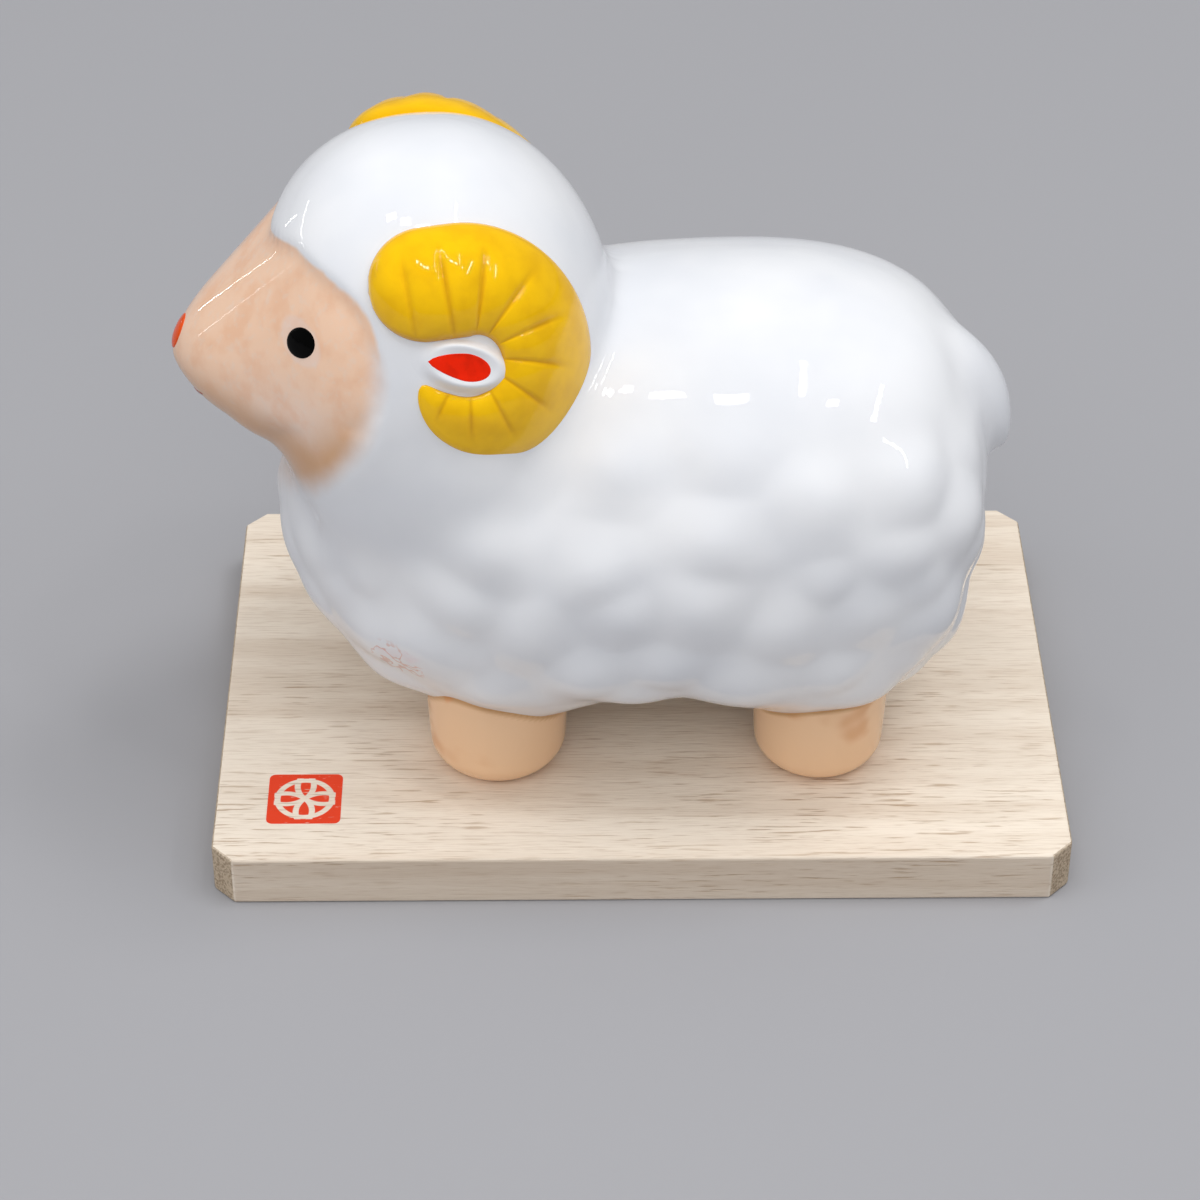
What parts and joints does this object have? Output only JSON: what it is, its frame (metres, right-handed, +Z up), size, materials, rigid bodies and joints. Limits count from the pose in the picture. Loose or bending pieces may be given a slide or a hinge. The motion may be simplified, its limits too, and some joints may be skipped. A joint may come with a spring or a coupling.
{
  "type": "ceramic sheep figurine",
  "caption": "Plump glazed ceramic sheep with coiled ribbed horns, short legs and a drop tail, standing loose on a small wooden board.",
  "frame": {"origin": "middle of the board's underside", "axes": "+X along the board's long side towards the sheep's tail, so the sheep looks along -X; +Y towards the sheep's right side; +Z up"},
  "size_m": [0.1247, 0.08, 0.0991],
  "materials": {
    "board_wood": "bare pale wood, fine straight grain",
    "white_glaze": "glossy white glaze",
    "peach_glaze": "glossy glaze over soft sprayed peach colour",
    "horn_glaze": "glossy amber yellow glaze",
    "red_enamel": "glossy red-orange enamel",
    "black_enamel": "glossy black enamel"
  },
  "bodies": {
    "board": {"base_board": "board_wood"},
    "sheep": {"fleece_body": "white_glaze", "head": "white_glaze", "face": "peach_glaze", "horn_left": "horn_glaze", "horn_right": "horn_glaze", "ear_left": "white_glaze", "ear_right": "white_glaze", "ear_lining_left": "red_enamel", "ear_lining_right": "red_enamel", "eye_left": "black_enamel", "eye_right": "black_enamel", "nose": "red_enamel", "tail": "white_glaze", "leg_front_left": "peach_glaze", "leg_front_right": "peach_glaze", "leg_rear_left": "peach_glaze", "leg_rear_right": "peach_glaze"}
  },
  "joints": [
    {"name": "sheep_lift", "type": "slide", "parent": "board", "child": "sheep", "axis": [0, 0, 1], "range_m": [0, 0.03]}
  ]
}
